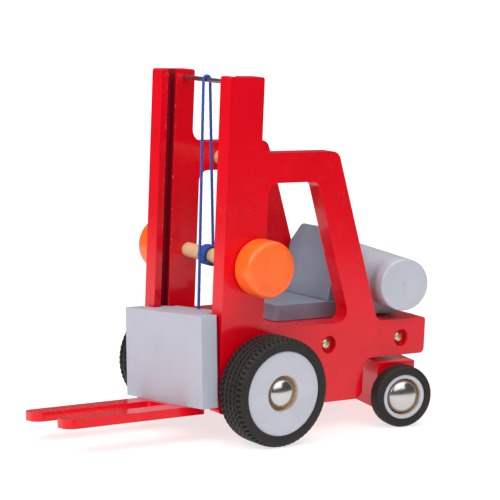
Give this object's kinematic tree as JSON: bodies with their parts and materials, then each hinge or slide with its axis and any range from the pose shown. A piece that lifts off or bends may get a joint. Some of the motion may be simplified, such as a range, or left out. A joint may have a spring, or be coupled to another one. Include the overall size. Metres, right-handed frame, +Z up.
{
  "type": "toy forklift truck",
  "caption": "Wooden toy forklift with a cord-hoisted fork carriage in a grooved mast, a knob winder, a steered rear axle under a gas bottle, and rubber-tyred wheels.",
  "frame": {"origin": "middle of the length and width, on the floor", "axes": "+X forward along the forks, +Y to the driver's left, +Z up"},
  "size_m": [0.2479, 0.126, 0.2],
  "materials": {
    "red_paint": "gloss red paint on wood",
    "pale_paint": "satin pale lavender grey paint on wood",
    "seat_paint": "satin slate grey paint on wood",
    "orange_paint": "gloss orange paint on turned wood",
    "bare_beech": "bare beech dowel",
    "blue_cord": "twisted blue cord",
    "steel_wire": "drawn steel",
    "hub_chrome": "polished plated steel",
    "zinc_screw": "yellow zinc plated steel",
    "tyre_rubber": "matt black rubber with tread"
  },
  "bodies": {
    "truck": {"side_panel_left": "red_paint", "side_panel_right": "red_paint", "chassis_block": "red_paint", "roof_tie_dowel": "bare_beech", "mast_top_rod": "steel_wire", "front_axle": "steel_wire", "front_cap_left": "hub_chrome", "front_cap_right": "hub_chrome", "front_washer_left": "steel_wire", "front_washer_right": "steel_wire", "panel_screw_left_front": "zinc_screw", "panel_screw_left_rear": "zinc_screw", "panel_screw_right_front": "zinc_screw", "panel_screw_right_rear": "zinc_screw", "seat_cushion": "seat_paint", "seat_backrest": "seat_paint", "hoist_cord_rear": "blue_cord", "hoist_cord_front": "blue_cord"},
    "winder": {"winder_dowel": "bare_beech", "winder_knob_left": "orange_paint", "winder_knob_right": "orange_paint", "hoist_cord_wound": "blue_cord"},
    "hitch": {"hoist_cord_tail": "blue_cord"},
    "carriage": {"carriage_block": "pale_paint", "carriage_spacer": "pale_paint", "carriage_slide_plate": "pale_paint", "carriage_backing": "pale_paint", "fork_plate": "red_paint", "fork_screw_left": "zinc_screw", "fork_screw_right": "zinc_screw"},
    "rear_steering": {"steer_block": "red_paint", "steer_pin": "bare_beech", "steer_washer_upper": "steel_wire", "steer_washer_lower": "steel_wire", "bottle_saddle": "pale_paint", "gas_bottle": "pale_paint", "rear_axle": "steel_wire", "rear_cap_left": "hub_chrome", "rear_cap_right": "hub_chrome", "rear_washer_left": "steel_wire", "rear_washer_right": "steel_wire"},
    "front_left_wheel": {"front_wheel_left": "pale_paint", "front_tyre_left": "tyre_rubber"},
    "front_right_wheel": {"front_wheel_right": "pale_paint", "front_tyre_right": "tyre_rubber"},
    "rear_left_wheel": {"rear_wheel_left": "pale_paint", "rear_tyre_left": "tyre_rubber"},
    "rear_right_wheel": {"rear_wheel_right": "pale_paint", "rear_tyre_right": "tyre_rubber"}
  },
  "joints": [
    {"name": "carriage_lift", "type": "slide", "parent": "truck", "child": "hitch", "axis": [0, 0, 1], "range_m": [0, 0.112], "deforming": ["hoist_cord_front"]},
    {"name": "carriage_sway", "type": "hinge", "parent": "hitch", "child": "carriage", "pos_m": [0.0239, -0.0008, 0.0678], "axis": [1, 0, 0], "range_deg": [-9, 0]},
    {"name": "winder_turn", "type": "hinge", "parent": "truck", "child": "winder", "pos_m": [0.0136, 0, 0.097], "axis": [0, 1, 0], "range_deg": [-1263, 0], "deforming": ["hoist_cord_rear"]},
    {"name": "rear_steer", "type": "hinge", "parent": "truck", "child": "rear_steering", "pos_m": [-0.0957, 0, 0.04], "axis": [0, 0, 1], "range_deg": [-5, 29]},
    {"name": "front_left_spin", "type": "hinge", "parent": "truck", "child": "front_left_wheel", "pos_m": [0.0084, 0.0519, 0.0302], "axis": [0, 1, 0], "continuous": true},
    {"name": "front_right_spin", "type": "hinge", "parent": "truck", "child": "front_right_wheel", "pos_m": [0.0084, -0.0519, 0.0302], "axis": [0, 1, 0], "continuous": true},
    {"name": "rear_left_spin", "type": "hinge", "parent": "rear_steering", "child": "rear_left_wheel", "pos_m": [-0.08543, 0.04832, 0.0179], "axis": [0.2079, 0.9781, 0], "continuous": true},
    {"name": "rear_right_spin", "type": "hinge", "parent": "rear_steering", "child": "rear_right_wheel", "pos_m": [-0.10597, -0.04832, 0.0179], "axis": [0.2079, 0.9781, 0], "continuous": true}
  ],
  "couplings": [
    {"joint": "winder_turn", "follows": "carriage_lift", "rad_per_m": -195.89}
  ]
}
